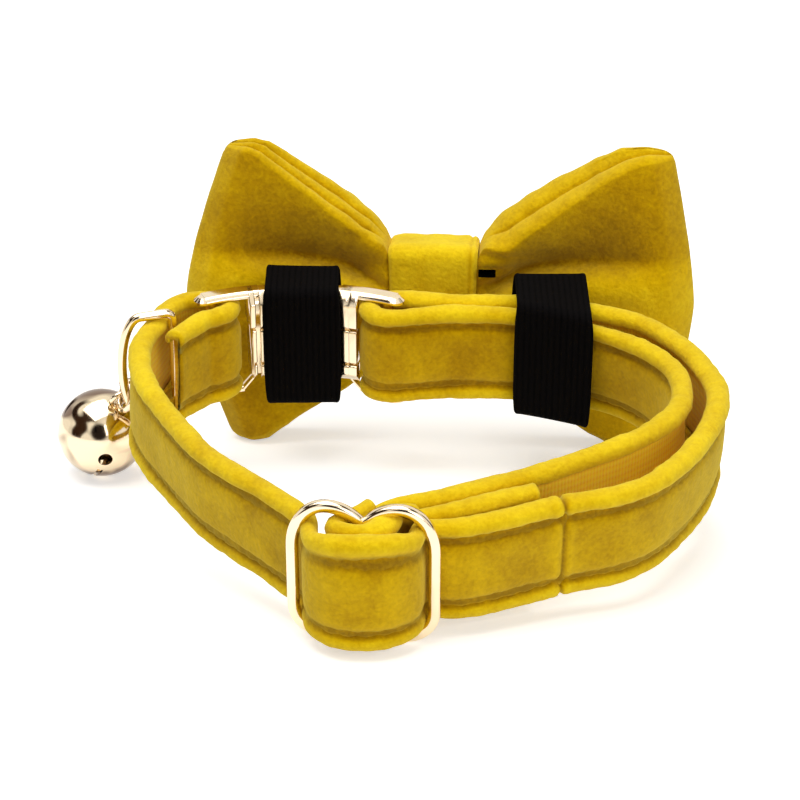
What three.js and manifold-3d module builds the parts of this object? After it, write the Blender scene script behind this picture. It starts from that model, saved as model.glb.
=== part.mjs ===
// A small pet collar in yellow velvet with a bow, a bell and gold hardware, lying on a table.
// Millimetres, +Z up. The strap, hardware and bow are drawn level, with x along the back run,
// y from the slider to the bow and z across the strap from its lower edge. The whole collar is
// then tipped, because the bow is taller than the strap and props up the back run.
import * as THREE from 'three';
import { mergeVertices } from 'three/addons/utils/BufferGeometryUtils.js';
import Module from 'manifold-3d';

const wasm = await Module();
wasm.setup();

// How the collar lies
const TIP = THREE.MathUtils.degToRad(10);
const FRONT_LIFT = 2.99; // lower strap edge above the table at y = 0

// Strap
const STRAP_WIDTH = 17.7;
const LOWER_EDGE = -0.35;
const STRAP_THICK = 3.6;
const STATION_TURN = THREE.MathUtils.degToRad(18);
const STATION_STEP = 9;
const WEBBING_TRIM = 1; // the webbing stops this far inside each end of the velvet
const PINCH = 0.5; // how much the strap narrows, as a share of how much it is squeezed

// Slider
const SLIDER = { x: -5.4, y: -0.7, turn: -0.114, half: 10.6, base: -1.85, hump: 20.6, notch: 17.5 };
const SLIDER_WIRE = 0.95;
const SLIDER_CORNER = 4.6;

// Buckle, both halves bent to one arc
const BUCKLE = { x: -17.2, y: 33.2, radius: 38, halfBody: 9.2, halfBar: 15.6, halfArm: 18.6 };
const BODY_HALF_THICK = 2.9;
const BODY_LOW = 1.3;
const BODY_HIGH = 18.7;
const BODY_BEVEL = 1.9;
const ARM_HALF_THICK = 1.6;
const ARM_HEIGHT = 1.1;
const ARM_LOW = -1.8; // the lower arms step down from the body to clear the strap
const BAR_RADIUS = 1;
const HALVES_GAP = 0.3;
const SLIT = 0.5;
const SLIT_HEIGHTS = [5.2, 12.1];

// D-ring, jump ring and bell
const D_RING = { x: -38.5, y: 62.3, aim: 3.45, low: -1.4, high: 18.4, straight: 5.6, depth: 9.1 };
const D_WIRE = 0.8;
const LINK = {
  radius: 2.7,
  wire: 0.5,
  centre: new THREE.Vector3(-46.8, 60.74, 3.03),
  axis: new THREE.Vector3(0.809, 0.302, -0.504),
};
const BELL = {
  radius: 7.7,
  wall: 0.6,
  centre: new THREE.Vector3(-52.08, 63.89, -6.34),
  up: new THREE.Vector3(0.408, -0.226, 0.885),
  slot: 1,
  slotTurn: 1.28, // from the lower pole to either end of the slot
  slotEnd: new THREE.Vector3(0.21, -0.9, -0.39), // from the bell's middle to the slot's near end
  hole: 1.25,
};
const EYE = { radius: 1.5, wire: 0.45, axis: new THREE.Vector3(-0.495, 0.759, 0.422) };
const BALL_RADIUS = 1.8;

// Bow
// It stands upright on the table, its right end nearer the slider.
const BOW = { x: 6.1, y: 81.2, z: 27.7, turn: -0.078, layer: 3, cup: 2.4 };
const WINGS = { left: { reach: 42.6, pull: 0.18 }, right: { reach: 44.4, pull: 0.105 } };
const KNOT = { width: 15.2, depth: 10.6, height: 17.2, thick: 1.8, round: 3.2 };

// Elastic loops
const ELASTIC_THICK = 1.1;
const FIT = 0.3;

// Strap route, level plan of the middle of its thickness, from the tail sewn at the slider,
// round the slider's middle bar, along the neck side to the right buckle bar, back along the
// outside through the slider, and round the left buckle bar to its folded end.
// lean is how far the upper edge tips towards the velvet side.
const TAIL = [
  // x, y, squeeze, lean
  [20.4, 10.6, 1, 0],
  [12.6, 7.35, 1, 0],
  [5.2, 4.6, 0.85, 0],
  [0.6, 3.3, 0.76, 0],
  [-2.1, 1.4, 0.75, 0],
];
const NECK_SIDE = [
  [-3.9, 4.2, 0.76, 0],
  [-1, 6.7, 0.8, 0],
  [5.2, 8.5, 0.9, 0],
  [13, 11.8, 1, 0],
  [22.6, 16.2, 1, 0],
  [30.9, 21.4, 1, 0],
  [36.2, 24.9, 1, 0],
  [40.6, 28.7, 1, 0.6],
  [44, 33.2, 1, 0.6],
  [45.7, 38.4, 1, 0.6],
  [45.4, 46.2, 1, 0.6],
  [42.6, 52.6, 1, 1.5],
  [38.9, 57.1, 1, 2.5],
  [33, 61.1, 1, 3],
  [25.5, 64.2, 1, 1.5],
  [17.4, 65.9, 1, 0.4],
  [8.7, 66.2, 1, 0],
  [3, 65.4, 1, 0],
];
const OUTSIDE = [
  [3, 71, 1, 0],
  [8.7, 70.2, 1, 0],
  [17, 69.9, 1, 0],
  [25.5, 69.2, 1, 0],
  [33.6, 66.8, 1, -0.6],
  [41, 62.9, 1, -0.8],
  [46, 56.7, 1, -0.6],
  [49.7, 48.1, 1, 0],
  [51, 40.3, 1, 0.4],
  [49.1, 31.5, 1, 1],
  [44.1, 21.3, 1, 1.2],
  [38.7, 14.2, 1, 1],
  [33.7, 10.6, 1, 0.8],
  [24.3, 7.5, 1, 0.6],
  [14.9, 3.4, 1, 0.4],
  [8.9, 1.35, 0.92, 0],
  [5.4, 1.15, 0.8, 0],
  [3.2, 0.3, 0.75, 0],
  [2.5, -1.6, 0.75, 0],
  [1.9, -3.7, 0.75, 0],
  [-1.1, -5.7, 0.76, 0],
  [-5.5, -6.4, 0.78, 0],
  [-9.9, -5.7, 0.76, 0],
  [-12.8, -3.3, 0.75, 0],
  [-13.3, -0.8, 0.75, 0],
  [-13.5, 1.8, 0.78, 0],
  [-15, 4.9, 0.92, 0],
  [-20.8, 11.8, 1, 0.4],
  [-25.4, 16.5, 1, 0.8],
  [-30.4, 22.4, 1, 0.8],
  [-36.7, 33.3, 1, 0.4],
  [-41.2, 42.4, 1, -0.4],
  [-43.2, 49.3, 1, -0.9],
  [-43.3, 56, 1, -0.7],
  [-41.6, 62, 1, -0.4],
  [-39.8, 67.6, 1, -0.3],
  [-37, 70.6, 1, 0],
];
const FOLD_END = [
  [-33.3, 64, 1, 0],
  [-35.1, 61.7, 1, 0.3],
  [-36.9, 59.6, 1, 0.8],
  [-38.2, 57.4, 1, 1],
];

// Velvet cover in section: across the strap, and depth behind the velvet face
const COVER_SECTION = [
  // across, depth
  [3.2, 3.35],
  [1.7, 3.6],
  [0.2, 3.1],
  [-0.35, 1.8],
  [0.1, 0.45],
  [1.2, 0],
  [2.7, 0.6],
  [4.6, 0.2],
  [12.4, 0.2],
  [14.3, 0.6],
  [15.8, 0],
  [16.9, 0.45],
  [17.35, 1.8],
  [16.8, 3.1],
  [15.3, 3.6],
  [13.8, 3.35],
  [13.8, 2.75],
  [15.9, 2.7],
  [15.9, 1.25],
  [1.1, 1.25],
  [1.1, 2.7],
  [3.2, 2.75],
];
const WEBBING_SECTION = [
  [15.55, 1.6],
  [1.45, 1.6],
  [1.45, 2.35],
  [15.55, 2.35],
];

// Bow plan, one quarter of the closed loop of cloth: out from the knot to the side fold.
// reach is a share of the half width, depth lies behind or before the middle of the bow,
// rise is half the height there, and pleat is how deep the middle is drawn in.
const BOW_PLAN = [
  // reach, depth, rise, pleat
  [0, 1.65, 5.8, 0],
  [0.183, 1.65, 5.9, 0],
  [0.212, 2.6, 12, 0.7],
  [0.27, 3.7, 15.8, 1.5],
  [0.36, 4, 19.2, 1.7],
  [0.5, 4, 22.9, 1.4],
  [0.66, 4, 25.6, 0.9],
  [0.82, 3.8, 27.1, 0.4],
  [0.94, 2.8, 27.8, 0],
  [1, 0, 27.8, 0],
];
const BOW_ACROSS = [-1, -0.94, -0.62, -0.26, 0, 0.26, 0.62, 0.94, 1];

const MATERIALS = {
  velvet: new THREE.MeshStandardMaterial({ color: 0xc8a421, roughness: 0.95, metalness: 0 }),
  webbing: new THREE.MeshStandardMaterial({ color: 0xf0ae1e, roughness: 0.8, metalness: 0 }),
  gold: new THREE.MeshStandardMaterial({ color: 0xe6c78c, roughness: 0.22, metalness: 1 }),
  elastic: new THREE.MeshStandardMaterial({ color: 0x0b090a, roughness: 0.85, metalness: 0 }),
};

const collar = new THREE.Group();
collar.rotation.x = TIP;
collar.position.z = FRONT_LIFT;

const bow = new THREE.Group();
bow.rotation.z = BOW.turn;
bow.position.set(BOW.x, BOW.y, 0);

function addPiece(name, geometry, material, group = collar) {
  const mesh = new THREE.Mesh(geometry, material);
  mesh.name = name;
  group.add(mesh);
}

// Turns a list of corners and triangles into a geometry whose faces point out.
function body(points, triangles) {
  let volume = 0;
  for (const [a, b, c] of triangles) {
    volume += points[a].dot(new THREE.Vector3().crossVectors(points[b], points[c]));
  }
  const order = volume > 0 ? triangles : triangles.map(([a, b, c]) => [a, c, b]);
  const geometry = new THREE.BufferGeometry();
  const positions = points.flatMap((point) => point.toArray());
  geometry.setAttribute('position', new THREE.Float32BufferAttribute(positions, 3));
  geometry.setIndex(order.flat());
  return geometry;
}

// Skins a row of equal rings. A round row meets its own start; any other is capped by section.
function skin(rings, section = null) {
  const across = rings[0].length;
  const triangles = [];
  const spans = section ? rings.length - 1 : rings.length;
  for (let i = 0; i < spans; i++) {
    const next = (i + 1) % rings.length;
    for (let j = 0; j < across; j++) {
      const k = (j + 1) % across;
      triangles.push([i * across + j, i * across + k, next * across + k]);
      triangles.push([i * across + j, next * across + k, next * across + j]);
    }
  }
  if (section) {
    const outline = section.map(([x, y]) => new THREE.Vector2(x, y));
    const sense = Math.sign(THREE.ShapeUtils.area(outline));
    const last = (rings.length - 1) * across;
    for (const [a, b, c] of THREE.ShapeUtils.triangulateShape(outline, [])) {
      const turn = THREE.ShapeUtils.area([outline[a], outline[b], outline[c]]);
      const [p, q, r] = Math.sign(turn) === sense ? [a, b, c] : [a, c, b];
      triangles.push([p, r, q], [last + p, last + q, last + r]);
    }
  }
  return body(rings.flat(), triangles);
}

function toManifold(geometry) {
  const bare = geometry.clone();
  bare.deleteAttribute('normal');
  bare.deleteAttribute('uv');
  const merged = mergeVertices(bare, 1e-4);
  return new wasm.Manifold(new wasm.Mesh({
    numProp: 3,
    vertProperties: new Float32Array(merged.attributes.position.array),
    triVerts: new Uint32Array(merged.index.array),
  }));
}

function fromManifold(solid) {
  const mesh = solid.getMesh();
  const geometry = new THREE.BufferGeometry();
  geometry.setAttribute('position', new THREE.BufferAttribute(mesh.vertProperties, 3));
  geometry.setIndex(new THREE.BufferAttribute(mesh.triVerts, 1));
  return geometry;
}

function join(...geometries) {
  return fromManifold(geometries.map(toManifold).reduce((a, b) => a.add(b)));
}

function cut(geometry, ...tools) {
  return fromManifold(tools.map(toManifold).reduce((a, b) => a.subtract(b), toManifold(geometry)));
}

// Points on an arc round a bar, as route rows.
function wrap(centre, radius, from, to, steps, squeeze) {
  const rows = [];
  for (let i = 0; i <= steps; i++) {
    const angle = THREE.MathUtils.degToRad(from + ((to - from) * i) / steps);
    rows.push([centre[0] + radius * Math.cos(angle), centre[1] + radius * Math.sin(angle), squeeze, 0]);
  }
  return rows;
}

// Point at distance along the buckle's arc and offset to its outer side.
function onBuckle(along, out) {
  const angle = along / BUCKLE.radius;
  const radius = BUCKLE.radius + out;
  return [BUCKLE.x + radius * Math.sin(angle), BUCKLE.y + radius * Math.cos(angle)];
}

function strapRoute() {
  const wrapRadius = STRAP_THICK / 2 + BAR_RADIUS + 0.4;
  return [
    ...TAIL,
    ...wrap([SLIDER.x, SLIDER.y], SLIDER_WIRE + 0.25 + (0.75 * STRAP_THICK) / 2, 0, -270, 6, 0.75),
    ...NECK_SIDE,
    ...wrap(onBuckle(BUCKLE.halfBar, 0), wrapRadius, -95, -265, 4, 1),
    ...OUTSIDE,
    ...wrap(onBuckle(-BUCKLE.halfBar, 0), wrapRadius, 110, -70, 4, 1),
    ...FOLD_END,
  ];
}

// Stations along the route: close together in the bends, far apart on the runs.
function stationsAlong(rows) {
  const plan = new THREE.CatmullRomCurve3(rows.map(([x, y]) => new THREE.Vector3(x, y, 0)));
  const shape = new THREE.CatmullRomCurve3(rows.map(([, , s, l]) => new THREE.Vector3(s, l, 0)), false, 'catmullrom');
  const fine = (rows.length - 1) * 16;
  const stations = [];
  let travelled = 0;
  let turned = 0;
  let previous = null;
  for (let i = 0; i <= fine; i++) {
    const point = plan.getPoint(i / fine);
    const along = plan.getTangent(i / fine);
    const [squeeze, lean] = shape.getPoint(i / fine).toArray();
    if (previous) {
      travelled += point.distanceTo(previous.point);
      turned += along.angleTo(previous.along);
    }
    previous = { point, along };
    if (i === 0 || i === fine || travelled > STATION_STEP || turned > STATION_TURN) {
      stations.push({ point, face: new THREE.Vector3(-along.y, along.x, 0), squeeze, lean });
      travelled = 0;
      turned = 0;
    }
  }
  return stations;
}

function ribbon(stations, section) {
  const centre = STRAP_WIDTH / 2 + LOWER_EDGE;
  const rings = stations.map(({ point, face, squeeze, lean }) => section.map(([across, depth]) => {
    const height = centre + (across - centre) * (1 - PINCH * (1 - squeeze));
    const out = (STRAP_THICK / 2 - depth) * squeeze + lean * ((across - LOWER_EDGE) / STRAP_WIDTH - 0.5);
    return new THREE.Vector3(0, 0, height).add(point).addScaledVector(face, out);
  }));
  return skin(rings, section);
}

function trimmed(stations, amount) {
  const inward = (end, next) => {
    const step = next.point.clone().sub(end.point).setLength(amount);
    return { ...end, point: end.point.clone().add(step) };
  };
  const last = stations.length - 1;
  const inner = stations.slice(1, last);
  return [inward(stations[0], stations[1]), ...inner, inward(stations[last], stations[last - 1])];
}

// A closed loop of wire that follows flat points; place turns a flat point into a place.
function wireLoop(points, radius, sides, place) {
  const rings = points.map((point, i) => {
    const before = points[(i + points.length - 1) % points.length];
    const after = points[(i + 1) % points.length];
    const along = after.clone().sub(before).normalize();
    return Array.from({ length: sides }, (_, j) => {
      const angle = (2 * Math.PI * (j + 0.5)) / sides;
      const side = radius * Math.cos(angle);
      return place(point.x + along.y * side, point.y - along.x * side, radius * Math.sin(angle));
    });
  });
  return skin(rings);
}

function withoutDoubles(points) {
  return points.filter((point, i) => point.distanceTo(points[(i + 1) % points.length]) > 1e-3);
}

function buildStrap() {
  const stations = stationsAlong(strapRoute());
  addPiece('strap_velvet', ribbon(stations, COVER_SECTION), MATERIALS.velvet);
  addPiece('strap_webbing', ribbon(trimmed(stations, WEBBING_TRIM), WEBBING_SECTION), MATERIALS.webbing);
}

// Tri-glide slider: a wire frame with a heart-shaped top, and the bar that the loop is sewn round.
function buildSlider() {
  const { half, base, hump, notch } = SLIDER;
  const outline = new THREE.Path();
  const shoulder = hump - 7;
  outline.moveTo(0, base);
  outline.lineTo(half - SLIDER_CORNER, base);
  outline.absarc(half - SLIDER_CORNER, base + SLIDER_CORNER, SLIDER_CORNER, -Math.PI / 2, 0);
  outline.lineTo(half, shoulder);
  outline.bezierCurveTo(half, hump - 2.4, half - 2.8, hump, half * 0.52, hump);
  outline.quadraticCurveTo(half * 0.22, hump, 0, notch);
  const right = outline.getPoints(5);
  const left = right.slice(1, -1).reverse().map((point) => new THREE.Vector2(-point.x, point.y));
  const turn = new THREE.Matrix4().makeRotationZ(SLIDER.turn).setPosition(SLIDER.x, SLIDER.y, 0);
  const place = (along, up, out) => new THREE.Vector3(along, out, up).applyMatrix4(turn);
  const frame = wireLoop(withoutDoubles([...right, ...left]), SLIDER_WIRE, 8, place);
  const bar = new THREE.CylinderGeometry(SLIDER_WIRE, SLIDER_WIRE, notch - base, 10);
  bar.rotateX(Math.PI / 2).translate(0, 0, (notch + base) / 2).applyMatrix4(turn);
  addPiece('slider', join(frame, bar), MATERIALS.gold);
}

// A curved plate between two places along the buckle's arc; its far end lies lower by drop.
function buckleSector(from, to, halfThick, low, high, bevel, drop = 0) {
  const steps = Math.max(2, Math.ceil(Math.abs(to - from) / 3));
  const places = Array.from({ length: steps + 1 }, (_, i) => from + ((to - from) * i) / steps);
  const profile = [
    [-halfThick, low + bevel],
    [-halfThick, high - bevel],
    [-halfThick + bevel, high],
    [halfThick - bevel, high],
    [halfThick, high - bevel],
    [halfThick, low + bevel],
    [halfThick - bevel, low],
    [-halfThick + bevel, low],
  ];
  const rings = places.map((along, i) => profile.map(([out, up]) => (
    new THREE.Vector3(...onBuckle(along, out), up - (drop * i) / steps))));
  return skin(rings, profile);
}

function buckleHalf(side, inner) {
  const { halfBody, halfBar, halfArm } = BUCKLE;
  const armEnd = halfArm - ARM_HALF_THICK;
  const step = halfBody + 1.2;
  const pieces = [buckleSector(inner, side * halfBody, BODY_HALF_THICK, BODY_LOW, BODY_HIGH, BODY_BEVEL)];
  const arm = (from, to, low, drop = 0) => {
    pieces.push(buckleSector(side * from, side * to, ARM_HALF_THICK, low, low + ARM_HEIGHT, 0.3, drop));
  };
  const upper = BODY_HIGH - ARM_HEIGHT;
  arm(halfBody - 2, armEnd, upper);
  arm(halfBody - 2, step, BODY_LOW + 0.6, BODY_LOW + 0.6 - ARM_LOW);
  arm(step - 0.3, armEnd, ARM_LOW);
  for (const low of [ARM_LOW, upper]) {
    const tip = new THREE.CylinderGeometry(ARM_HALF_THICK - 0.05, ARM_HALF_THICK - 0.05, ARM_HEIGHT - 0.1, 12);
    tip.rotateX(Math.PI / 2).translate(...onBuckle(side * armEnd, 0), low + ARM_HEIGHT / 2);
    pieces.push(tip);
  }
  const barBottom = ARM_LOW + ARM_HEIGHT / 2;
  const barTop = upper + ARM_HEIGHT / 2;
  const bar = new THREE.CylinderGeometry(BAR_RADIUS, BAR_RADIUS, barTop - barBottom, 10);
  bar.rotateX(Math.PI / 2).translate(...onBuckle(side * halfBar, 0), (barTop + barBottom) / 2);
  pieces.push(bar);
  return join(...pieces);
}

// Side-release buckle, closed: each half is a curved plate with two arms that carry its strap bar.
function buildBuckle() {
  const slits = SLIT_HEIGHTS.map((height) => buckleSector(
    -BUCKLE.halfBody - 1, BUCKLE.halfBody + 1, SLIT, height - SLIT / 2, height + SLIT / 2, 0.1));
  const face = -BODY_HALF_THICK;
  const neckSlits = slits.map((slit) => {
    const moved = slit.clone();
    const position = moved.attributes.position;
    const middle = new THREE.Vector2(BUCKLE.x, BUCKLE.y);
    for (let i = 0; i < position.count; i++) {
      const place = new THREE.Vector2(position.getX(i), position.getY(i)).sub(middle);
      place.setLength(place.length() + face).add(middle);
      position.setXY(i, place.x, place.y);
    }
    return moved;
  });
  addPiece('buckle_left', cut(buckleHalf(-1, -HALVES_GAP / 2), ...neckSlits), MATERIALS.gold);
  addPiece('buckle_right', cut(buckleHalf(1, HALVES_GAP / 2), ...neckSlits), MATERIALS.gold);
}

function buildDRing() {
  const { x, y, aim, low, high, straight, depth } = D_RING;
  const middle = (low + high) / 2;
  const half = (high - low) / 2;
  const outline = new THREE.Path();
  const corner = 1.2;
  outline.moveTo(corner, low);
  outline.lineTo(straight, low);
  outline.absellipse(straight, middle, depth - straight, half, -Math.PI / 2, Math.PI / 2);
  outline.lineTo(corner, high);
  outline.absarc(corner, high - corner, corner, Math.PI / 2, Math.PI);
  outline.lineTo(0, low + corner);
  outline.absarc(corner, low + corner, corner, Math.PI, Math.PI * 1.5);
  const points = withoutDoubles(outline.getPoints(5));
  const turn = new THREE.Matrix4().makeRotationZ(aim).setPosition(x, y, 0);
  const place = (along, up, out) => new THREE.Vector3(along, out, up).applyMatrix4(turn);
  addPiece('d_ring', wireLoop(points, D_WIRE, 6, place), MATERIALS.gold);
}

// Turns a piece drawn upright so that its y axis points along up and its z axis towards side.
function standAlong(geometry, up, side) {
  const y = up.clone().normalize();
  const z = side.clone().addScaledVector(y, -side.dot(y)).normalize();
  return geometry.applyMatrix4(new THREE.Matrix4().makeBasis(new THREE.Vector3().crossVectors(y, z), y, z));
}

// The bell hangs from the D-ring by one link and rests on the table.
function buildBell() {
  const link = new THREE.TorusGeometry(LINK.radius, LINK.wire, 6, 20);
  const lift = new THREE.Vector3().crossVectors(LINK.axis, new THREE.Vector3(1, 0, 0));
  standAlong(link, lift, LINK.axis).translate(...LINK.centre.toArray());
  addPiece('jump_ring', link, MATERIALS.gold);

  const { radius, wall, up, slotTurn } = BELL;
  const outer = new THREE.SphereGeometry(radius, 24, 14);
  const inner = new THREE.SphereGeometry(radius - wall, 16, 10);
  const slot = new THREE.BoxGeometry(BELL.slot, radius, 2 * radius * Math.sin(slotTurn));
  slot.translate(0, -radius * (0.5 + Math.cos(slotTurn)), 0);
  const holes = [-1, 1].map((end) => {
    const hole = new THREE.CylinderGeometry(BELL.hole, BELL.hole, 4, 12);
    return hole.translate(0, -radius, 0).rotateX(-end * slotTurn);
  });
  const shell = standAlong(cut(outer, inner, slot, ...holes), up, BELL.slotEnd);
  const eye = new THREE.TorusGeometry(EYE.radius, EYE.wire, 6, 12);
  standAlong(eye.translate(0, radius + EYE.radius - 0.3, 0), up, EYE.axis);
  addPiece('bell', join(shell, eye).translate(...BELL.centre.toArray()), MATERIALS.gold);

  const ball = new THREE.SphereGeometry(BALL_RADIUS, 10, 7);
  const drop = new THREE.Vector3(0, -Math.sin(TIP), -Math.cos(TIP));
  const ballCentre = BELL.centre.clone().addScaledVector(drop, radius - wall - BALL_RADIUS - FIT);
  addPiece('bell_ball', ball.translate(...ballCentre.toArray()), MATERIALS.gold);
}

// The bow: one wide loop of padded cloth, gathered at the knot, its ends closed by the side folds.
function buildBow() {
  const quarter = BOW_PLAN.map(([reach, depth, rise, pleat]) => ({ reach, depth, rise, pleat }));
  const back = quarter.map((row) => ({ ...row, depth: -row.depth, pleat: row.pleat }));
  const front = quarter.slice(0, -1).reverse().map((row) => ({ ...row, pleat: -row.pleat }));
  const right = [...back, ...front];
  const left = right.slice(1, -1).reverse().map((row) => ({ ...row, reach: -row.reach }));
  const loop = [...right, ...left];
  const place = ({ reach, depth, rise, pleat }, across) => {
    const wing = reach < 0 ? WINGS.left : WINGS.right;
    const end = THREE.MathUtils.smoothstep(Math.abs(reach), 0.45, 1);
    const loose = THREE.MathUtils.smoothstep(Math.abs(reach), 0.18, 0.4);
    const fold = pleat * Math.exp(-((across / 0.26) ** 2)) - BOW.cup * end;
    return new THREE.Vector3(
      reach * wing.reach * (1 - wing.pull * across * across * end),
      depth * (1 - 0.3 * loose * across * across) + fold,
      BOW.z + across * rise,
    );
  };
  const rings = loop.map((row, i) => {
    const before = loop[(i + loop.length - 1) % loop.length];
    const after = loop[(i + 1) % loop.length];
    const wall = (side) => BOW_ACROSS.map((across) => {
      const along = place(after, across).sub(place(before, across)).setZ(0).normalize();
      const thick = (BOW.layer / 2) * (Math.abs(across) === 1 ? 0.45 : 1);
      const out = new THREE.Vector3(along.y, -along.x, 0).multiplyScalar(side * thick);
      const point = place(row, across).add(out);
      return point.setZ(Math.max(point.z, 0));
    });
    return [...wall(1), ...wall(-1).reverse()];
  });
  addPiece('bow', skin(rings), MATERIALS.velvet, bow);
}

// A flat strip closed into a loop: corners of its outline in y and z, and its width in x.
function strip(outline, thick, left, right, shift) {
  const rings = outline.map((point, i) => {
    const before = outline[(i + outline.length - 1) % outline.length];
    const after = outline[(i + 1) % outline.length];
    const along = after.clone().sub(before).normalize();
    const inner = new THREE.Vector2(point.x - along.y * thick, point.y + along.x * thick);
    return [[left, point], [right, point], [right, inner], [left, inner]]
      .map(([x, at]) => new THREE.Vector3(x, at.x + shift(x, at.x), at.y));
  });
  return skin(rings);
}

function roundedOutline(low, high, radius, steps) {
  const outline = new THREE.Path();
  outline.moveTo(low.x + radius, low.y);
  outline.lineTo(high.x - radius, low.y);
  outline.absarc(high.x - radius, low.y + radius, radius, -Math.PI / 2, 0);
  outline.lineTo(high.x, high.y - radius);
  outline.absarc(high.x - radius, high.y - radius, radius, 0, Math.PI / 2);
  outline.lineTo(low.x + radius, high.y);
  outline.absarc(low.x + radius, high.y - radius, radius, Math.PI / 2, Math.PI);
  outline.lineTo(low.x, low.y + radius);
  outline.absarc(low.x + radius, low.y + radius, radius, Math.PI, Math.PI * 1.5);
  return withoutDoubles(outline.getPoints(steps));
}

function buildKnot() {
  const { width, depth, height, thick, round } = KNOT;
  const low = new THREE.Vector2(-depth / 2, BOW.z - height / 2);
  const high = new THREE.Vector2(depth / 2, BOW.z + height / 2);
  const outline = roundedOutline(low, high, round, 4);
  const still = () => 0;
  addPiece('bow_knot', strip(outline, thick, -width / 2, width / 2, still), MATERIALS.velvet, bow);
}

// Elastic loops sewn to the bow's back; the collar passes through them.
function buildElastic() {
  const loops = [
    // front and back along y, low and high across the strap, skew of the front to the strap's curve
    { name: 'elastic_left', left: -24.3, right: -10.2, front: 65.9, back: 77.2, low: -2.4, high: 20.4, skew: 0 },
    { name: 'elastic_right', left: 19.4, right: 32.4, front: 61.6, back: 74.4, low: -1.9, high: 20.4, skew: 0.42 },
  ];
  for (const { name, left, right, front, back, low, high, skew } of loops) {
    const outline = roundedOutline(new THREE.Vector2(front, low), new THREE.Vector2(back, high), 1.8, 3);
    const shift = (x, y) => -skew * (x - left) * THREE.MathUtils.clamp((back - y) / (back - front), 0, 1);
    addPiece(name, strip(outline, ELASTIC_THICK, left, right, shift), MATERIALS.elastic);
  }
  const tab = new THREE.BoxGeometry(3.3, ELASTIC_THICK, 2.2);
  tab.translate(9.6, -5.5, 33.4);
  addPiece('elastic_tab', tab, MATERIALS.elastic, bow);
}

buildStrap();
buildSlider();
buildBuckle();
buildDRing();
buildBell();
buildBow();
buildKnot();
buildElastic();

// The origin lies under the middle of the collar, on the table.
const part = new THREE.Group();
part.add(collar, bow);
part.updateMatrixWorld(true);
const box = new THREE.Box3().setFromObject(part, true);
const middle = box.getCenter(new THREE.Vector3());
for (const group of [collar, bow]) {
  group.position.sub(new THREE.Vector3(middle.x, middle.y, box.min.z));
}

export default part;
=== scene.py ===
import math

import bmesh
import bpy
import numpy as np
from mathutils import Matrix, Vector, noise


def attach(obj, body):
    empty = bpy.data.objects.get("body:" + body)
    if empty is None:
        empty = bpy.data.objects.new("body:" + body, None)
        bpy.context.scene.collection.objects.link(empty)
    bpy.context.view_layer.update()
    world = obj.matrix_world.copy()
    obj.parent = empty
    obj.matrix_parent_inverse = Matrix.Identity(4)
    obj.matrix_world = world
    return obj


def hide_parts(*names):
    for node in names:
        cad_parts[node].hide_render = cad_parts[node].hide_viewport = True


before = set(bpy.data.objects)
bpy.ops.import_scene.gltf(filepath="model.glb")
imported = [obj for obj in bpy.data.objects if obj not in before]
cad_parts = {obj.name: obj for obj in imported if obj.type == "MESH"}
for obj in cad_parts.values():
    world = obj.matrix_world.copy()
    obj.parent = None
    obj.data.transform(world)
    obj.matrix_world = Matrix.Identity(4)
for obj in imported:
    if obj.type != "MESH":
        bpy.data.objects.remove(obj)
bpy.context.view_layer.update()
bpy.ops.object.select_all(action="DESELECT")

# Camera: it stands a little above the collar, straight in front of the slider.
camera = bpy.data.objects.new("camera", bpy.data.cameras.new("camera"))
bpy.context.scene.collection.objects.link(camera)
camera.data.sensor_width = 36
camera.data.lens = 107.1
camera.location = (0.003411, -0.36111, 0.16213)
camera_aim = Vector((0.003411, 0.061809, -0.00021)) - camera.location
camera.rotation_euler = camera_aim.to_track_quat("-Z", "Y").to_euler()
bpy.context.scene.camera = camera
bpy.context.scene.view_settings.view_transform = "Standard"


# Table: a white sheet under the collar. It glows faintly for the eye and in the polished metal
# only, so that the cloth above it keeps its own dark undersides.
TABLE_LIFT = 0.5


def new_material(name):
    material = bpy.data.materials.new(name)
    material.use_nodes = True
    shader = material.node_tree.nodes["Principled BSDF"]
    return material, material.node_tree, shader


def link_math(tree, operation, first, second):
    sum_node = tree.nodes.new("ShaderNodeMath")
    sum_node.operation = operation
    for socket, value in zip(sum_node.inputs, (first, second)):
        if isinstance(value, (int, float)):
            socket.default_value = value
        else:
            tree.links.new(value, socket)
    return sum_node.outputs["Value"]


bpy.ops.mesh.primitive_plane_add(size=6, location=(0, 0, -0.0001))
table = bpy.context.object
table.name = "table"
white_table, tree, shader = new_material("white_table")
shader.inputs["Base Color"].default_value = (0.9, 0.9, 0.9, 1)
shader.inputs["Roughness"].default_value = 0.9
shader.inputs["Specular IOR Level"].default_value = 0.1
shader.inputs["Emission Color"].default_value = (1, 1, 1, 1)
ray = tree.nodes.new("ShaderNodeLightPath").outputs
direct = link_math(tree, "MAXIMUM", ray["Is Camera Ray"], ray["Is Glossy Ray"])
lift = link_math(tree, "MULTIPLY", direct, TABLE_LIFT)
tree.links.new(lift, shader.inputs["Emission Strength"])
table.data.materials.append(white_table)

# Light: a large soft box overhead, a weaker one in front, and a white room whose few dark
# gaps show only in the polished metal.
SOFT_BOXES = [
    # name, place, size, power
    ("box_above", (-0.10, -0.06, 0.75), 0.7, 5.4),
    ("box_front", (0.45, -0.75, 0.45), 0.5, 2.6),
]
for name, place, size, power in SOFT_BOXES:
    lamp = bpy.data.objects.new(name, bpy.data.lights.new(name, "AREA"))
    lamp.data.size = size
    lamp.data.energy = power
    lamp.location = place
    lamp.rotation_euler = (-Vector(place)).to_track_quat("-Z", "Y").to_euler()
    bpy.context.scene.collection.objects.link(lamp)


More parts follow.
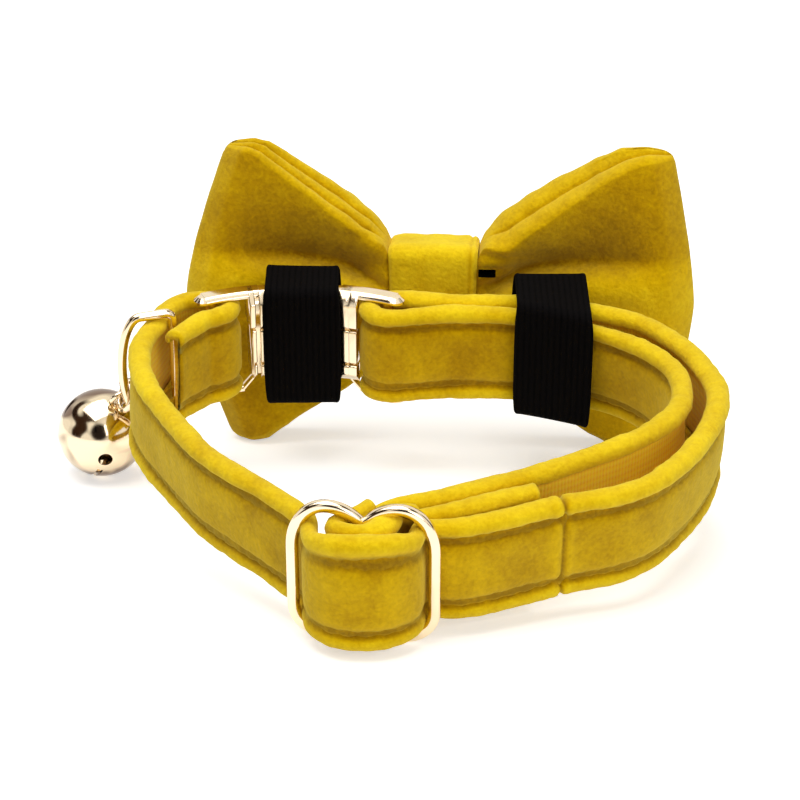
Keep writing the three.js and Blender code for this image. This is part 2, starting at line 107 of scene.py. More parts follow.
def link_noise(tree, coordinates, scale, detail=2.0, distortion=0.0):
    cloud = tree.nodes.new("ShaderNodeTexNoise")
    cloud.inputs["Scale"].default_value = scale
    cloud.inputs["Detail"].default_value = detail
    cloud.inputs["Distortion"].default_value = distortion
    tree.links.new(coordinates, cloud.inputs["Vector"])
    return cloud.outputs["Fac"]


def link_ramp(tree, value, stops):
    ramp = tree.nodes.new("ShaderNodeValToRGB")
    ramp.color_ramp.elements[0].position, ramp.color_ramp.elements[0].color = stops[0]
    ramp.color_ramp.elements[1].position, ramp.color_ramp.elements[1].color = stops[-1]
    for position, color in stops[1:-1]:
        ramp.color_ramp.elements.new(position).color = color
    tree.links.new(value, ramp.inputs["Fac"])
    return ramp.outputs["Color"]


def link_mix(tree, factor, first, second, blend="MIX"):
    mix = tree.nodes.new("ShaderNodeMix")
    mix.data_type = "RGBA"
    mix.blend_type = blend
    for name, value in (("Factor", factor), ("A", first), ("B", second)):
        socket = next(s for s in mix.inputs if s.name == name and s.enabled)
        if isinstance(value, (int, float, tuple)):
            socket.default_value = value
        else:
            tree.links.new(value, socket)
    return next(s for s in mix.outputs if s.enabled)


ROOM_WHITE = (1, 1, 1, 1)
CLOTH_LIGHT = (0.24, 0.24, 0.24, 1)  # what the room gives the cloth and the table
room = bpy.data.worlds.new("room")
bpy.context.scene.world = room
room.use_nodes = True
tree = room.node_tree
background = tree.nodes["Background"]
background.inputs["Strength"].default_value = 1.0
where = tree.nodes.new("ShaderNodeTexCoord").outputs["Generated"]
gaps = link_ramp(tree, link_noise(tree, where, 1.15, 0.6, 0.9), [
    (0.40, (0.035, 0.016, 0.008, 1)),
    (0.47, (1.0, 0.98, 0.95, 1)),
])
towards = tree.nodes.new("ShaderNodeVectorMath")
towards.operation = "DOT_PRODUCT"
towards.inputs[1].default_value = (0.0, -0.934, 0.358)  # to the dark place round the camera
tree.links.new(where, towards.inputs[0])
camera_gap = link_ramp(tree, towards.outputs["Value"], [
    (0.90, ROOM_WHITE),
    (0.95, (0.02, 0.014, 0.012, 1)),
])
ray = tree.nodes.new("ShaderNodeLightPath").outputs
polished = link_mix(tree, 1.0, gaps, camera_gap, "MULTIPLY")
soft = link_mix(tree, ray["Is Glossy Ray"], CLOTH_LIGHT, polished)
seen = link_mix(tree, ray["Is Camera Ray"], soft, ROOM_WHITE)
tree.links.new(seen, background.inputs["Color"])


# Strap cover: one long strip of short-pile velvet folded round both edges of the webbing and
# stitched down near each edge, so that the edges puff up as rolls and the stitches sink in.
# It runs from the slider's bar round the neck to the buckle, back through the slider, and on
# to the buckle's other half.
TIP = math.radians(10)  # the collar lies tipped, propped up at the back by the bow
STRAP_THICK = 3.6
STRAP_MIDDLE = 8.5  # across the strap, counted from just inside its lower edge
SLIDER_AT = (-5.4, -0.7)
BUCKLE_AT = (-17.2, 33.2)
BUCKLE_ARC = 38.0
STRAP_BARS = 15.6  # from the buckle's middle to each strap bar, along its arc


def lay_down(x, y, height):
    """Level collar millimetres to metres in the part's frame."""
    cos, sin = math.cos(TIP), math.sin(TIP)
    return (
        np.stack(
            [x + 3.4112, -38.8413 + y * cos - height * sin, 2.99 + y * sin + height * cos],
            axis=-1,
        )
        / 1000
    )


def on_buckle(along, out=0.0):
    angle = along / BUCKLE_ARC
    radius = BUCKLE_ARC + out
    return BUCKLE_AT[0] + radius * math.sin(angle), BUCKLE_AT[1] + radius * math.cos(angle)


def round_bar(centre, radius, start, stop, steps, squeeze):
    turns = np.radians(np.linspace(start, stop, steps + 1))
    return [
        (centre[0] + radius * math.cos(t), centre[1] + radius * math.sin(t), squeeze, 0)
        for t in turns
    ]


# x, y, squeeze, lean of the upper edge
STRAP_ROUTE = [
    (20.4, 10.6, 1, 0), (12.6, 7.35, 1, 0), (5.2, 4.6, 0.85, 0), (0.6, 3.3, 0.76, 0),
    (-1.9, 1.2, 1.15, 0), (-2.15, -1.0, 1.3, 0), (-3.3, -2.9, 1.1, 0), (-5.4, -3.3, 0.8, 0),
    (-8.3, -2.7, 0.8, 0), (-9.6, -1.3, 0.8, 0), (-8.4, 0.25, 0.75, 0), (-6.0, 1.9, 0.75, 0),
    (-3.9, 4.2, 0.76, 0), (-1, 6.7, 0.8, 0), (5.2, 8.5, 0.9, 0), (13, 11.8, 1, 0),
    (22.6, 16.2, 1, 0), (30.9, 21.4, 1, 0), (36.2, 24.9, 1, 0), (40.6, 28.7, 1, 0.6),
    (44, 33.2, 1, 0.6), (45.7, 38.4, 1, 0.6), (45.4, 46.2, 1, 0.6), (42.6, 52.6, 1, 1.5),
    (38.9, 57.1, 1, 2.5), (33, 61.1, 1, 3), (25.5, 64.2, 1, 1.5), (17.4, 65.9, 1, 0.4),
    (8.7, 66.2, 1, 0), (3, 65.4, 1, 0),
    *round_bar(on_buckle(STRAP_BARS), 3.2, -95, -265, 4, 1),
    (3, 71, 1, 0), (8.7, 70.2, 1, 0), (17, 69.9, 1, 0), (25.5, 69.2, 1, 0),
    (33.6, 66.8, 1, -0.6), (41, 62.9, 1, -0.8), (46, 56.7, 1, -0.6), (49.7, 48.1, 1, 0),
    (51, 40.3, 1, 0.4), (49.1, 31.5, 1, 1), (44.1, 21.3, 1, 1.2), (38.7, 14.2, 1, 1),
    (33.7, 10.6, 1, 0.8), (24.3, 7.5, 1, 0.6), (14.9, 3.4, 1, 0.4), (8.9, 1.35, 0.92, 0),
    (5.4, 1.15, 0.8, 0), (3.2, 0.3, 0.75, 0), (2.5, -1.6, 0.75, 0), (1.9, -3.7, 0.75, 0),
    (-1.1, -5.7, 0.9, 0), (-5.5, -6.4, 1.0, 0), (-9.9, -5.7, 0.9, 0),
    (-12.8, -3.3, 0.75, 0), (-13.3, -0.8, 0.75, 0), (-13.5, 1.8, 0.78, 0),
    (-15, 4.9, 0.92, 0), (-20.8, 11.8, 1, 0.4), (-25.4, 16.5, 1, 0.8),
    (-30.4, 22.4, 1, 0.8), (-36.7, 33.3, 1, 0.4), (-41.2, 42.4, 1, -0.4),
    (-43.2, 49.3, 1, -0.9), (-43.3, 56, 1, -0.7), (-41.6, 62, 1, -0.4),
    (-39.8, 67.6, 1, -0.3), (-37, 70.6, 1, 0),
    *round_bar(on_buckle(-STRAP_BARS), 3.2, 110, -70, 4, 1),
    (-33.3, 64, 1, 0), (-35.1, 61.7, 1, 0.3), (-36.9, 59.6, 1, 0.8), (-38.2, 57.4, 1, 1),
]


def smooth_line(points, fine, even=False, closed=False):
    """A curve through the points, with so many places for each span."""
    points = np.asarray(points, float)
    if closed:
        ends = np.vstack([points[-1:], points, points[:2]])
    else:
        ends = np.vstack([2 * points[0] - points[1], points, 2 * points[-1] - points[-2]])
    share = np.linspace(0, 1, fine, endpoint=False)[:, None]
    places = []
    for a, b, c, d in zip(ends, ends[1:], ends[2:], ends[3:]):
        if even:
            leave, arrive = (c - a) / 2, (d - b) / 2
        else:
            first, mid, last = (max(((q - p) @ (q - p)) ** 0.25, 1e-6)
                                for p, q in ((a, b), (b, c), (c, d)))
            leave = ((b - a) / first - (c - a) / (first + mid) + (c - b) / mid) * mid
            arrive = ((c - b) / mid - (d - b) / (mid + last) + (d - c) / last) * mid
        bend = 3 * (c - b) - 2 * leave - arrive
        twist = 2 * (b - c) + leave + arrive
        places.append(b + leave * share + bend * share**2 + twist * share**3)
    if not closed:
        places.append(points[-1:])
    return np.vstack(places)


def strap_stations(spacing, trim=0.0):
    rows = np.array(STRAP_ROUTE, float)
    plan = smooth_line(rows[:, :2], 24)
    shape = smooth_line(rows[:, 2:], 24, even=True)
    travelled = np.concatenate([[0], np.cumsum(np.linalg.norm(np.diff(plan, axis=0), axis=1))])
    length = travelled[-1]
    at = np.linspace(trim, length - trim, int((length - 2 * trim) / spacing) + 1)
    columns = [np.interp(at, travelled, c) for c in (*plan.T, *shape.T)]
    x, y, squeeze, lean = columns
    along = np.stack([np.gradient(x), np.gradient(y)], axis=1)
    along /= np.linalg.norm(along, axis=1)[:, None]
    return at, x, y, -along[:, 1], along[:, 0], squeeze, lean


def smooth_step(value, low, high):
    t = np.clip((np.asarray(value, float) - low) / (high - low), 0, 1)
    return t * t * (3 - 2 * t)


def noise_at(places, scale, seed):
    return np.array([noise.noise(Vector(p) * scale + Vector((seed, 2 * seed, 0))) for p in places])


def make_piece(name, rings, closed=False, tones=None):
    """Skins a row of rings with quads, faces outwards; open rows are capped at both ends."""
    count, across = rings.shape[:2]
    spans = count if closed else count - 1
    near = np.arange(across)
    far = (near + 1) % across
    faces = []
    for i in range(spans):
        here, there = i * across, ((i + 1) % count) * across
        faces.append(np.stack([here + near, here + far, there + far, there + near], axis=1))
    faces = [list(map(int, f)) for f in np.vstack(faces)]
    if not closed:
        faces.append([int(i) for i in near[::-1]])
        faces.append([int((count - 1) * across + i) for i in near])
    mesh = bpy.data.meshes.new(name)
    mesh.from_pydata([tuple(p) for p in rings.reshape(-1, 3)], [], faces)
    if tones is not None:
        lay = mesh.attributes.new("lay", "FLOAT_VECTOR", "POINT")
        lay.data.foreach_set("vector", np.asarray(tones, np.float32).reshape(-1))
    shell = bmesh.new()
    shell.from_mesh(mesh)
    if shell.calc_volume(signed=True) < 0:
        bmesh.ops.reverse_faces(shell, faces=shell.faces)
    shell.to_mesh(mesh)
    shell.free()
    mesh.polygons.foreach_set("use_smooth", [True] * len(mesh.polygons))
    piece = bpy.data.objects.new(name, mesh)
    bpy.context.scene.collection.objects.link(piece)
    return piece


def pinched(across, squeeze):
    """Height of each place across the strap, which narrows a little where it is squeezed."""
    return STRAP_MIDDLE + (across - STRAP_MIDDLE) * (1 - 0.15 * (1 - squeeze[:, None]))


def strap_rings(x, y, face_x, face_y, out, height):
    """Rings of the strap's section, so far out from its middle line and so high."""
    return lay_down(
        x[:, None] + face_x[:, None] * out, y[:, None] + face_y[:, None] * out, height)


COVER_SECTION = [
    # across the strap, depth behind the velvet face
    (3.2, 3.35), (1.7, 3.6), (0.2, 3.1), (-0.35, 1.8), (0.1, 0.45), (1.2, 0.0), (2.75, 0.72),
    (4.5, 0.2), (8.5, 0.12), (12.5, 0.2), (14.25, 0.72), (15.8, 0.0), (16.9, 0.45),
    (17.35, 1.8), (16.9, 3.0), (16.1, 3.45), (15.2, 3.3), (15.2, 2.8), (15.9, 2.7),
    (15.9, 1.25), (8.5, 1.25), (1.1, 1.25), (1.1, 2.7), (3.2, 2.75),
]
STITCH_LINES = (2.75, 14.25)
STITCH_PITCH = 2.6
COVER_SEAM = 24.3  # level x of the seam that joins two lengths of velvet on the outer layer

at, x, y, face_x, face_y, squeeze, lean = strap_stations(0.62)
section = smooth_line(COVER_SECTION, 3, closed=True)
edge = np.roll(section, -1, axis=0) - np.roll(section, 1, axis=0)
edge /= np.linalg.norm(edge, axis=1)[:, None]
normal = np.stack([edge[:, 1], -edge[:, 0]], axis=1)
outer = section[:, 1] < 1.2
if normal[np.argmin(section[:, 1]), 1] > 0:
    normal = -normal
across, depth = section.T
on_face = outer & (np.abs(across - STRAP_MIDDLE) < 7.4)
rolled = np.clip((np.abs(across - STRAP_MIDDLE) - 5.9) / 1.2, 0, 1)
walls = ~((depth > 1.2) & (depth < 2.8) & (across > 1.0) & (across < 16.0))

S, A = np.meshgrid(at, across, indexing="ij")
grain = np.stack([S.ravel(), A.ravel(), np.broadcast_to(depth, S.shape).ravel()], axis=1)
broad = noise_at(grain, 0.13, 3.1).reshape(S.shape)
medium = noise_at(grain * (1, 0.6, 0.6), 0.42, 7.7).reshape(S.shape)
tight = noise_at(grain, 1.1, 12.3).reshape(S.shape)
stitch_pull = np.cos(2 * math.pi * S / STITCH_PITCH + 1.5 * broad)
groove = sum(np.exp(-(((A - line) / 0.55) ** 2)) for line in STITCH_LINES) * on_face
seam_near = at[np.argmin(np.hypot(x - COVER_SEAM, y - 7.5))]
seam = np.exp(-(((S - seam_near) / 0.4) ** 2))
seam_lip = sum(np.exp(-(((S - seam_near + away) / 0.6) ** 2)) for away in (-1.0, 1.0))
push = 0.20 * broad + 0.07 * medium * rolled + 0.05 * medium + 0.05 * tight
push = push - groove * (0.36 + 0.10 * stitch_pull)
push = push + rolled * (0.10 + 0.025 * stitch_pull)
push = push - 0.45 * seam + 0.16 * seam_lip
push = push * walls * np.clip((squeeze[:, None] - 0.7) / 0.2, 0.35, 1)
moved_across = A + push * normal[:, 0]
moved_depth = depth + push * normal[:, 1]
in_slider = np.exp(-(((x - SLIDER_AT[0]) / 8.5) ** 4)) * (y < 4)
moved_across = moved_across + 2.2 * in_slider[:, None] * smooth_step(A, 11.5, 16.5)
height = pinched(moved_across, squeeze)
out = (STRAP_THICK / 2 - moved_depth) * squeeze[:, None]
out = out + lean[:, None] * ((moved_across + 0.35) / 17.7 - 0.5)
cover_rings = strap_rings(x, y, face_x, face_y, out, height)
# painted light and shade: the velvet's tone is raised on the rolls and pushed-out places and lowered in
# the stitch grooves and at the seam
painted_light_and_shade = 0.45 + 0.30 * rolled - 0.75 * groove + 0.9 * push - 0.4 * seam
tones = np.stack([S / 1000, A / 1000, np.clip(painted_light_and_shade, 0, 1)], axis=-1)
strap_cover = make_piece("strap_cover", cover_rings, tones=tones)


# The velvet: a short yellow pile that lies in soft patches, with painted shade down in the grooves,
# painted light on the raised rolls, and a painted sheen where it is seen along its side.
def link_bump(tree, shader, height, strength, distance):
    bump = tree.nodes.new("ShaderNodeBump")
    bump.inputs["Strength"].default_value = strength
    bump.inputs["Distance"].default_value = distance
    tree.links.new(height, bump.inputs["Height"])
    tree.links.new(bump.outputs["Normal"], shader.inputs["Normal"])


def link_lay(tree):
    """The piece's own measure of its surface: along, across, and a tone for how far it is raised, which
    also carries painted light and shade.
    """
    lay = tree.nodes.new("ShaderNodeAttribute")
    lay.attribute_name = "lay"
    parts = tree.nodes.new("ShaderNodeSeparateXYZ")
    tree.links.new(lay.outputs["Vector"], parts.inputs["Vector"])
    return lay.outputs["Vector"], parts.outputs["Z"]


def velvet_material(name):
    material, tree, shader = new_material(name)
    place = tree.nodes.new("ShaderNodeTexCoord").outputs["Object"]
    patches = link_noise(tree, place, 95, 3, 0.6)
    pile = link_noise(tree, place, 1500, 3)
    tufts = link_noise(tree, place, 480, 2)
    lit = link_math(tree, "MULTIPLY", patches, 0.5)
    lit = link_math(tree, "ADD", lit, link_math(tree, "MULTIPLY", pile, 0.5))
    lit = link_math(tree, "ADD", lit, link_math(tree, "MULTIPLY", tufts, 0.3))
    # painted light and shade: each piece's own tone lightens or darkens the pile colour
    _, relief_and_painted_light = link_lay(tree)
    lit = link_math(tree, "ADD", lit, link_math(tree, "MULTIPLY", relief_and_painted_light, 0.9))
    lit = link_math(tree, "SUBTRACT", lit, 0.45)
    lit = link_math(tree, "SUBTRACT", lit, 0.17)
    color = link_ramp(tree, lit, [
        (0.0, (0.26, 0.120, 0.0004, 1)),
        (0.32, (0.49, 0.268, 0.0006, 1)),
        (0.62, (0.69, 0.425, 0.0012, 1)),
        (1.0, (0.90, 0.640, 0.010, 1)),
    ])
    # painted sheen: the base colour turns pale yellow where the surface is seen along its side
    rim = tree.nodes.new("ShaderNodeLayerWeight")
    rim.inputs["Blend"].default_value = 0.28
    painted_light = link_math(tree, "MULTIPLY", rim.outputs["Facing"], 0.5)
    color = link_mix(tree, painted_light, color, (0.92, 0.76, 0.10, 1))
    tree.links.new(color, shader.inputs["Base Color"])
    grain = link_math(tree, "ADD", pile, link_math(tree, "MULTIPLY", tufts, 0.8))
    link_bump(tree, shader, grain, 0.55, 0.00035)
    shader.inputs["Roughness"].default_value = 0.95
    shader.inputs["Specular IOR Level"].default_value = 0.04
    shader.inputs["Sheen Weight"].default_value = 0.28
    shader.inputs["Sheen Roughness"].default_value = 0.45
    shader.inputs["Sheen Tint"].default_value = (1.0, 0.84, 0.24, 1)
    return material


velvet = velvet_material("yellow_velvet")
strap_cover.data.materials.append(velvet)
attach(strap_cover, "root")
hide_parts("strap_velvet")

# Strap tape: the ribbed woven tape inside the velvet, open to view down the middle of the
# strap's reverse side. Its ribs run straight across.
RIB_PITCH = 0.62
TAPE_SECTION = [
    # across the strap, depth behind the velvet face
    (15.55, 1.62), (12.0, 1.62), (8.5, 1.62), (5.0, 1.62), (1.45, 1.62),
    (1.45, 2.33), (3.4, 2.33), (5.1, 2.33), (6.8, 2.33), (8.5, 2.33), (10.2, 2.33),
    (11.9, 2.33), (13.6, 2.33), (15.55, 2.33),
]
at, x, y, face_x, face_y, squeeze, lean = strap_stations(RIB_PITCH / 4, trim=1.0)
section = np.array(TAPE_SECTION)
rib = 0.09 * np.abs(np.sin(math.pi * at / RIB_PITCH))[:, None]
across, depth = section.T
sign = np.where(depth > 2, 1, -1)
moved_depth = depth + sign * (rib - 0.05)
height = pinched(across, squeeze)
out = (STRAP_THICK / 2 - moved_depth) * squeeze[:, None]
out = out + lean[:, None] * ((across + 0.35) / 17.7 - 0.5)
tape_rings = strap_rings(x, y, face_x, face_y, out, height)
S, A = np.meshgrid(at, across, indexing="ij")
tones = np.stack([S / 1000, A / 1000, np.broadcast_to(rib / 0.09, S.shape)], axis=-1)
strap_tape = make_piece("strap_tape", tape_rings, tones=tones)

tape_yarn, tree, shader = new_material("orange_tape")
lay, relief_and_painted_light = link_lay(tree)
place = tree.nodes.new("ShaderNodeTexCoord").outputs["Object"]
warp = tree.nodes.new("ShaderNodeTexWave")
warp.bands_direction = "Y"
warp.inputs["Scale"].default_value = 1000 / 0.55 / 20 * 3.1416
warp.inputs["Distortion"].default_value = 0.4
tree.links.new(lay, warp.inputs["Vector"])
yarn = link_noise(tree, place, 900, 2)
tone = link_math(tree, "MULTIPLY", relief_and_painted_light, 0.6)
tone = link_math(tree, "ADD", tone, link_math(tree, "MULTIPLY", warp.outputs["Fac"], 0.25))
tone = link_math(tree, "ADD", tone, link_math(tree, "MULTIPLY", yarn, 0.25))
tree.links.new(link_ramp(tree, tone, [
    (0.0, (0.74, 0.36, 0.004, 1)),
    (0.45, (0.97, 0.60, 0.010, 1)),
    (1.0, (1.0, 0.76, 0.030, 1)),
]), shader.inputs["Base Color"])
link_bump(tree, shader, link_math(tree, "ADD", warp.outputs["Fac"], yarn), 0.5, 0.0001)
shader.inputs["Roughness"].default_value = 0.62
shader.inputs["Sheen Weight"].default_value = 0.15
strap_tape.data.materials.append(tape_yarn)
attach(strap_tape, "root")
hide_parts("strap_webbing")

# Slider: a cast wire frame with a heart-shaped top, polished and gold-plated, and the middle
# bar that the strap's end is sewn round. The wire's front is slightly flattened.
SLIDER = {"half": 10.6, "base": -1.85, "hump": 20.6, "notch": 17.5, "turn": -0.114}
SLIDER_WIRE = 0.95
SLIDER_CORNER = 4.6


def sweep_wire(name, path, radius, place, sides=16, flat=1.0, closed=True):
    """A wire along flat points; place turns along, up and out into a place in the frame."""
    path = np.asarray(path, float)
    if closed:
        ahead = np.roll(path, -1, axis=0) - np.roll(path, 1, axis=0)
    else:
        ahead = np.gradient(path, axis=0)
    ahead /= np.linalg.norm(ahead, axis=1)[:, None]
    turns = 2 * math.pi * (np.arange(sides) + 0.5) / sides
    side = radius * np.sign(np.cos(turns)) * np.abs(np.cos(turns)) ** flat
    lift = radius * np.sign(np.sin(turns)) * np.abs(np.sin(turns)) ** flat
    along = path[:, :1] + ahead[:, 1:] * side
    up = path[:, 1:] - ahead[:, :1] * side
    out = np.broadcast_to(lift, along.shape)
    return make_piece(name, place(along, up, out), closed=closed)


def arc(centre, radius, start, stop, steps):
    turns = np.radians(np.linspace(start, stop, steps + 1))
    return [(centre[0] + radius * math.cos(t), centre[1] + radius * math.sin(t)) for t in turns]


def even_path(points, spacing, closed=True):
    points = np.asarray(points, float)
    if closed:
        points = np.vstack([points, points[:1]])
    steps = np.linalg.norm(np.diff(points, axis=0), axis=1)
    keep = np.concatenate([[True], steps > 1e-6])
    points = points[keep]
    travelled = np.concatenate([[0], np.cumsum(np.linalg.norm(np.diff(points, axis=0), axis=1))])
    count = max(8, int(travelled[-1] / spacing))
    at = np.linspace(0, travelled[-1], count + (not closed), endpoint=not closed)
    return np.stack([np.interp(at, travelled, c) for c in points.T], axis=1)


def bezier(points, steps):
    points = np.asarray(points, float)
    t = np.linspace(0, 1, steps + 1)[:, None]
    layers = list(points[:, None, :])
    while len(layers) > 1:
        layers = [a + (b - a) * t for a, b in zip(layers, layers[1:])]
    return [tuple(p) for p in layers[0]]


half, base, hump, notch = (SLIDER[k] for k in ("half", "base", "hump", "notch"))
right = [(0, base), (half - SLIDER_CORNER, base)]
right += arc((half - SLIDER_CORNER, base + SLIDER_CORNER), SLIDER_CORNER, -90, 0, 12)
right += [(half, hump - 7)]
right += bezier([(half, hump - 7), (half, hump - 2.4), (half - 2.8, hump), (half * 0.52, hump)], 14)
right += bezier([(half * 0.52, hump), (half * 0.22, hump), (0, notch)], 10)
slider_path = even_path(right + [(-a, b) for a, b in right[-2:0:-1]], 0.45)


def at_slider(along, up, out):
    cos, sin = math.cos(SLIDER["turn"]), math.sin(SLIDER["turn"])
    x = SLIDER_AT[0] + along * cos - out * sin
    y = SLIDER_AT[1] + along * sin + out * cos
    return lay_down(x, y, up)


slider_frame = sweep_wire("slider_frame", slider_path, SLIDER_WIRE, at_slider, 20, flat=0.8)
slider_bar = sweep_wire(
    "slider_bar", [(0, base + 0.2 + i) for i in range(19)], SLIDER_WIRE, at_slider, 16, closed=False
)


def join_pieces(name, *pieces):
    bpy.ops.object.select_all(action="DESELECT")
    for piece in pieces:
        piece.select_set(True)
    bpy.context.view_layer.objects.active = pieces[0]
    if len(pieces) > 1:
        bpy.ops.object.join()
    joined = bpy.context.object
    joined.name = name
    joined.data.name = name
    bpy.ops.object.select_all(action="DESELECT")
    return joined


# Gold plate: pale champagne gold, polished, with the faint waves and hairlines of cast metal.
gold_plate, tree, shader = new_material("gold_plate")
place = tree.nodes.new("ShaderNodeTexCoord").outputs["Object"]
waves = link_noise(tree, place, 160, 2)
hairs = link_noise(tree, place, 2600, 2)
tree.links.new(link_ramp(tree, waves, [
    (0.3, (0.86, 0.70, 0.47, 1)),
    (0.7, (0.93, 0.79, 0.57, 1)),
]), shader.inputs["Base Color"])
shader.inputs["Metallic"].default_value = 1.0
polish = tree.nodes.new("ShaderNodeMapRange")
polish.inputs["To Min"].default_value = 0.07
polish.inputs["To Max"].default_value = 0.17
tree.links.new(hairs, polish.inputs["Value"])
tree.links.new(polish.outputs["Result"], shader.inputs["Roughness"])
link_bump(tree, shader, waves, 0.10, 0.0002)

slider = join_pieces("slider_heart", slider_frame, slider_bar)
slider.data.materials.append(gold_plate)
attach(slider, "root")
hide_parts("slider")

# Buckle: a side-release buckle in plated metal, closed. Each half is a plate curved to the
# neck with bevelled edges and two scored lines, and two arms that carry its strap bar.
PLATE_LOW, PLATE_HIGH = 1.3, 18.7
PLATE_BEVEL = 1.9
PLATE_OUT = 2.9
PLATE_END = 9.2
SCORE_BEVEL = 0.25
SCORES = (5.2, 12.1)
SCORE_WIDTH = 0.42
ARM_LOW = -1.8
ARM_HEIGHT = 1.1
ARM_OUT = 1.6


def buckle_block(name, start, stop, profile, drop=0.0):
    """A block bent along the buckle's arc, of the given outline in out and height."""
    steps = max(3, int(abs(stop - start) / 0.8))
    places = np.linspace(start, stop, steps + 1)
    rings = []
    for i, along in enumerate(places):
        ring = []
        for out, up in profile:
            px, py = on_buckle(along, out)
            ring.append(lay_down(px, py, up - drop * i / steps))
        rings.append(ring)
    return make_piece(name, np.array(rings))


def soften(piece, width, segments=3, angle=30):
    bpy.context.view_layer.objects.active = piece
    piece.select_set(True)
    bevel = piece.modifiers.new("soft_edges", "BEVEL")
    bevel.width = width / 1000
    bevel.segments = segments
    bevel.limit_method = "ANGLE"
    bevel.angle_limit = math.radians(angle)
    bpy.ops.object.modifier_apply(modifier=bevel.name)
    bpy.ops.object.shade_smooth_by_angle(angle=math.radians(40))
    piece.select_set(False)
    return piece


def plate_profile(low, high, out, bevel_low, bevel_high):
    corners = []
    for side in (-1, 1):
        rows = [
            (side * (out - bevel_low), low), (side * out, low + bevel_low),
            (side * out, high - bevel_high), (side * (out - bevel_high), high),
        ]
        corners += rows if side == 1 else rows[::-1]
    return corners


def arm_profile(low, front):
    """Outline of an arm at this height; one that shows in front has a wide chamfer."""
    cut = 0.75 if front < 0 else 0.3
    return [
        (front, low), (front, low + 0.45), (front + cut, low + ARM_HEIGHT),
        (ARM_OUT - 0.3, low + ARM_HEIGHT), (ARM_OUT, low + ARM_HEIGHT - 0.3), (ARM_OUT, low),
    ]


def disc_ring(centre, radius, up, turns):
    x, y = centre
    return lay_down(x + radius * np.cos(turns), y + radius * np.sin(turns), up + 0 * turns)


def plate_strips(side):
    """The plate between its scored lines; the left one has a slot, the right one a long lip."""
    pieces = []
    lines = [PLATE_LOW, *SCORES, PLATE_HIGH]
    spans = [(0.15, PLATE_END)] if side > 0 else [(0.15, 7.4), (8.15, PLATE_END)]
    for start, stop in spans:
        for i, (low, high) in enumerate(zip(lines, lines[1:])):
            low = low + (SCORE_WIDTH / 2 if i else 0)
            high = high - (SCORE_WIDTH / 2 if i < 2 else 0)
            low_cut = SCORE_BEVEL if i else PLATE_BEVEL
            high_cut = PLATE_BEVEL if i == 2 else SCORE_BEVEL
            profile = plate_profile(low, high, PLATE_OUT, low_cut, high_cut)
            shift = 0.25 * (2 - i) if side < 0 and start > 8 else 0
            block = buckle_block("block", side * start, side * (stop - shift), profile)
            pieces.append(soften(block, 0.18))
            if side > 0:
                lip = [
                    (-0.9, low), (-0.9, high), (high_cut - PLATE_OUT, high),
                    (-PLATE_OUT, high - high_cut), (-PLATE_OUT, low + low_cut),
                    (low_cut - PLATE_OUT, low),
                ]
                pieces.append(soften(buckle_block("lip", 9.0, 10.6, lip), 0.18))
    return pieces


def buckle_half(side):
    pieces = plate_strips(side)
    core = plate_profile(PLATE_LOW + 0.8, PLATE_HIGH - 0.8, 2.25, 1.2, 1.2)
    pieces.append(buckle_block("core", side * 0.2, side * 9.0, core))
    arm_end = 18.6 - ARM_OUT
    upper = PLATE_HIGH - ARM_HEIGHT
    step_low = PLATE_LOW + 0.6
    arms = [
        # name, start, stop, outline, drop
        ("arm", 7.2, arm_end, arm_profile(upper, -ARM_OUT), 0.0),
        ("step", 7.2, 10.4, arm_profile(step_low, 0.3), step_low - ARM_LOW),
        ("arm", 10.1, arm_end, arm_profile(ARM_LOW, 0.3), 0.0),
    ]
    for name, start, stop, profile, drop in arms:
        block = buckle_block(name, side * start, side * stop, profile, drop)
        pieces.append(soften(block, 0.12))
    turns = 2 * math.pi * np.arange(32) / 32
    for low in (ARM_LOW, upper):
        outline = [(ARM_OUT - 0.05, 0.03), (ARM_OUT - 0.05, 0.45), (ARM_OUT - 0.75, 1.07)]
        rings = [disc_ring(on_buckle(side * arm_end), radius, low + up, turns)
                 for radius, up in outline]
        pieces.append(make_piece("tip", np.array(rings)))
    turns = 2 * math.pi * np.arange(20) / 20
    bar = [disc_ring(on_buckle(side * STRAP_BARS), 1, up, turns)
           for up in (ARM_LOW + 0.5, upper + 0.5)]
    pieces.append(make_piece("bar", np.array(bar)))
    for piece in pieces[-3:]:
        bpy.context.view_layer.objects.active = piece
        piece.select_set(True)
        bpy.ops.object.shade_smooth_by_angle(angle=math.radians(40))
        piece.select_set(False)
    return pieces


for side, node in ((-1, "buckle_left"), (1, "buckle_right")):
    half_buckle = join_pieces(node + "_plate", *buckle_half(side))
    half_buckle.data.materials.clear()
    half_buckle.data.materials.append(gold_plate)
    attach(half_buckle, "root")
    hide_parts(node)

# D-ring: bent from gold-plated wire, its straight side caught in the fold of the strap's end.
D_RING = {
    "x": -38.5, "y": 62.3, "aim": 3.45, "low": -1.4, "high": 18.4, "straight": 5.6, "depth": 9.1,
}
D_WIRE = 0.8
low, high, straight = D_RING["low"], D_RING["high"], D_RING["straight"]
middle, tall, bow_out = (low + high) / 2, (high - low) / 2, D_RING["depth"] - D_RING["straight"]
ring_path = [(1.2, low), (straight, low)]
ring_path += [(straight + bow_out * math.cos(t), middle + tall * math.sin(t))
              for t in np.linspace(-math.pi / 2, math.pi / 2, 40)]
ring_path += [(1.2, high)] + arc((1.2, high - 1.2), 1.2, 90, 180, 8)
ring_path += [(0, low + 1.2)] + arc((1.2, low + 1.2), 1.2, 180, 270, 8)


def at_ring(along, up, out):
    cos, sin = math.cos(D_RING["aim"]), math.sin(D_RING["aim"])
    x = D_RING["x"] + along * cos - out * sin
    y = D_RING["y"] + along * sin + out * cos
    return lay_down(x, y, up)


